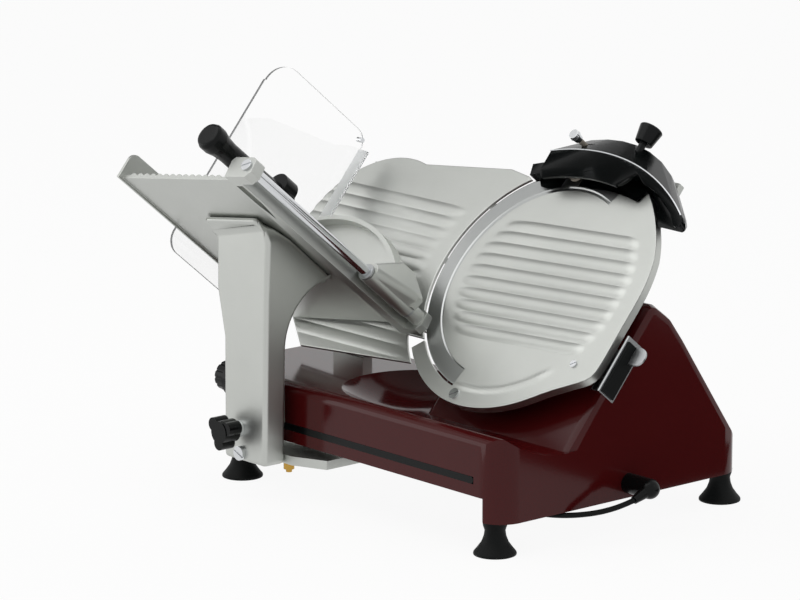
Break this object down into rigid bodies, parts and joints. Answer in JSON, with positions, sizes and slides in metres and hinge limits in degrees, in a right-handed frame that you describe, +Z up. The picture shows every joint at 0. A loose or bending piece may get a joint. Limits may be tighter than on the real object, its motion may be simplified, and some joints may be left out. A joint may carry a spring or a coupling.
{
  "type": "electric food slicer",
  "caption": "Gravity-feed electric slicer: slanted round blade with ridged cover, gauge plate, sliding tray carriage with pusher, sharpener head and a cast base with motor housing.",
  "frame": {"origin": "on the floor under the middle of the object's box, leaving the lead out", "axes": "+X along the carriage stroke away from the operator end, -Y towards the carriage side, +Z up"},
  "size_m": [0.691, 0.7366, 0.527],
  "materials": {
    "red_enamel": "gloss enamel",
    "cast_aluminium": "satin anodised",
    "polished_steel": "polished",
    "brushed_steel": "brushed",
    "black_plastic": "semi gloss",
    "black_rubber": "matt",
    "brass": "turned",
    "bronze": "sintered",
    "clear_acrylic": "clear",
    "abrasive_stone": "rough",
    "motor_steel": "laminated",
    "green_plastic": "gloss",
    "red_plastic": "gloss"
  },
  "bodies": {
    "base": {"base_casting": "red_enamel", "bottom_plate": "brushed_steel", "trim_strip": "black_plastic", "rubber_feet": "black_rubber", "foot_screws": "brushed_steel", "slide_rod": "polished_steel", "slide_rail": "brushed_steel", "cord_gland": "black_plastic", "cord_run": "black_rubber", "cord_coil": "black_rubber", "coil_tie": "black_plastic", "mains_plug": "black_plastic", "motor_body": "motor_steel", "gauge_guide": "brushed_steel", "spindle_housing": "cast_aluminium", "spindle_bearings": "polished_steel", "blade_cover": "cast_aluminium", "cover_screws": "polished_steel", "guard_arm": "cast_aluminium", "guard_bracket": "brushed_steel", "bracket_pad": "black_rubber", "slice_deflector": "brushed_steel", "sharpener_housing": "black_plastic", "sharpener_trim": "polished_steel", "sharpener_post": "cast_aluminium", "switch_plate": "brushed_steel", "drive_belt": "black_rubber", "index_dial": "cast_aluminium"},
    "blade_body": {"blade": "polished_steel", "blade_spindle": "brushed_steel", "driven_pulley": "cast_aluminium"},
    "motor_rotor": {"motor_shaft": "brushed_steel", "drive_pulley": "cast_aluminium"},
    "grinder": {"grinding_stone": "abrasive_stone"},
    "deburrer": {"deburr_stone": "abrasive_stone", "deburr_button": "polished_steel"},
    "sharpener_lock": {"sharpener_knob": "black_plastic"},
    "index": {"index_knob": "black_plastic", "index_shaft": "brushed_steel"},
    "gauge": {"gauge_plate": "cast_aluminium", "gauge_arm": "cast_aluminium"},
    "carriage": {"carriage_column": "cast_aluminium", "slide_block": "cast_aluminium", "slide_bushes": "bronze", "clamp_collar": "polished_steel", "stop_screw": "polished_steel", "adjusting_screw": "brass", "food_tray": "cast_aluminium", "rail_bar": "cast_aluminium", "pusher_rod": "polished_steel", "carriage_grip": "black_plastic", "grip_rod": "polished_steel", "finger_guard": "clear_acrylic", "guard_screws": "polished_steel"},
    "clamp": {"clamp_knob": "black_plastic"},
    "pusher_slider": {"pusher_bush": "brushed_steel"},
    "pusher": {"pusher_head": "cast_aluminium"},
    "start": {"start_button": "green_plastic"},
    "stop": {"stop_button": "red_plastic"},
    "tie": {"cover_tie_knob": "black_plastic"}
  },
  "joints": [
    {"name": "blade_spin", "type": "hinge", "parent": "base", "child": "blade_body", "pos_m": [0.1165, 0.07645, 0.292], "axis": [0, -0.766, 0.6428], "continuous": true},
    {"name": "motor_spin", "type": "hinge", "parent": "base", "child": "motor_rotor", "pos_m": [0.1815, 0.01024, 0.2131], "axis": [0, -0.766, 0.6428], "continuous": true},
    {"name": "index_turn", "type": "hinge", "parent": "base", "child": "index", "pos_m": [-0.2615, -0.08555, 0.118], "axis": [1, 0, 0], "range_deg": [0, 270]},
    {"name": "gauge_slide", "type": "slide", "parent": "base", "child": "gauge", "axis": [0, 0.766, -0.6428], "range_m": [0, 0.0112]},
    {"name": "carriage_slide", "type": "slide", "parent": "base", "child": "carriage", "axis": [1, 0, 0], "range_m": [0, 0.28]},
    {"name": "clamp_turn", "type": "hinge", "parent": "carriage", "child": "clamp", "pos_m": [-0.1455, -0.20355, 0.093], "axis": [0, -1, 0], "range_deg": [-180, 180]},
    {"name": "pusher_slide", "type": "slide", "parent": "carriage", "child": "pusher_slider", "axis": [0, -0.766, 0.6428], "range_m": [0, 0.12]},
    {"name": "pusher_swing", "type": "hinge", "parent": "pusher_slider", "child": "pusher", "pos_m": [-0.0176, -0.01808, 0.24779], "axis": [0, 0.766, -0.6428], "range_deg": [0, 95]},
    {"name": "grinder_spin", "type": "hinge", "parent": "base", "child": "grinder", "pos_m": [0.1715, 0.19333, 0.40018], "axis": [0, -0.766, 0.6428], "continuous": true},
    {"name": "deburr_press", "type": "slide", "parent": "base", "child": "deburrer", "axis": [0, 0.766, -0.6428], "range_m": [0, 0.004], "stiffness_N_per_m": 400, "springref_m": -0.003},
    {"name": "sharpener_turn", "type": "hinge", "parent": "base", "child": "sharpener_lock", "pos_m": [0.1765, 0.20118, 0.44842], "axis": [0, 0.6428, 0.766], "range_deg": [-180, 180]},
    {"name": "start_press", "type": "slide", "parent": "base", "child": "start", "axis": [1, 0, 0], "range_m": [0, 0.003], "stiffness_N_per_m": 500, "springref_m": -0.002},
    {"name": "stop_press", "type": "slide", "parent": "base", "child": "stop", "axis": [1, 0, 0], "range_m": [0, 0.003], "stiffness_N_per_m": 500, "springref_m": -0.002},
    {"name": "tie_turn", "type": "hinge", "parent": "base", "child": "tie", "pos_m": [0.1165, 0.17604, 0.20844], "axis": [0, -0.766, 0.6428], "range_deg": [-180, 180]}
  ],
  "couplings": [
    {"joint": "motor_spin", "follows": "blade_spin", "ratio": 3.8462},
    {"joint": "index_turn", "follows": "gauge_slide", "rad_per_m": 407.24}
  ]
}
